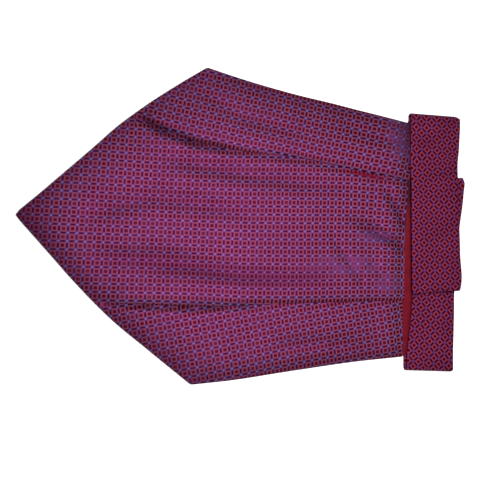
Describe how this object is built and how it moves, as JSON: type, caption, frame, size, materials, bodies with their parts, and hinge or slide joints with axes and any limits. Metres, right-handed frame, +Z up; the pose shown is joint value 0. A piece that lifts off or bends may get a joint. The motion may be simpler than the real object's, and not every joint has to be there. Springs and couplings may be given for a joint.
{
  "type": "silk cravat",
  "caption": "Ready-made cravat laid flat: a pointed, pleated silk blade on a folded neckband with a plain satin inner side.",
  "frame": {"origin": "centre of the bounding box, at the surface that the cravat lies on", "axes": "+X from the blade's point towards the neckband, +Y along the neckband towards the fold of its upper end, +Z up from the surface, out of the cloth's outer side"},
  "size_m": [0.2996, 0.2051, 0.0076],
  "materials": {
    "patterned_silk": "woven silk with a soft sheen, in a small repeat of red squares with blue dots on purple",
    "band_silk": "the same woven silk cut on the bias, with its repeat at 45 degrees to the band",
    "red_satin": "plain dark red satin with a soft sheen"
  },
  "bodies": {
    "root": {"blade": "patterned_silk", "neckband": "band_silk", "neckband_lining": "red_satin"}
  },
  "joints": []
}
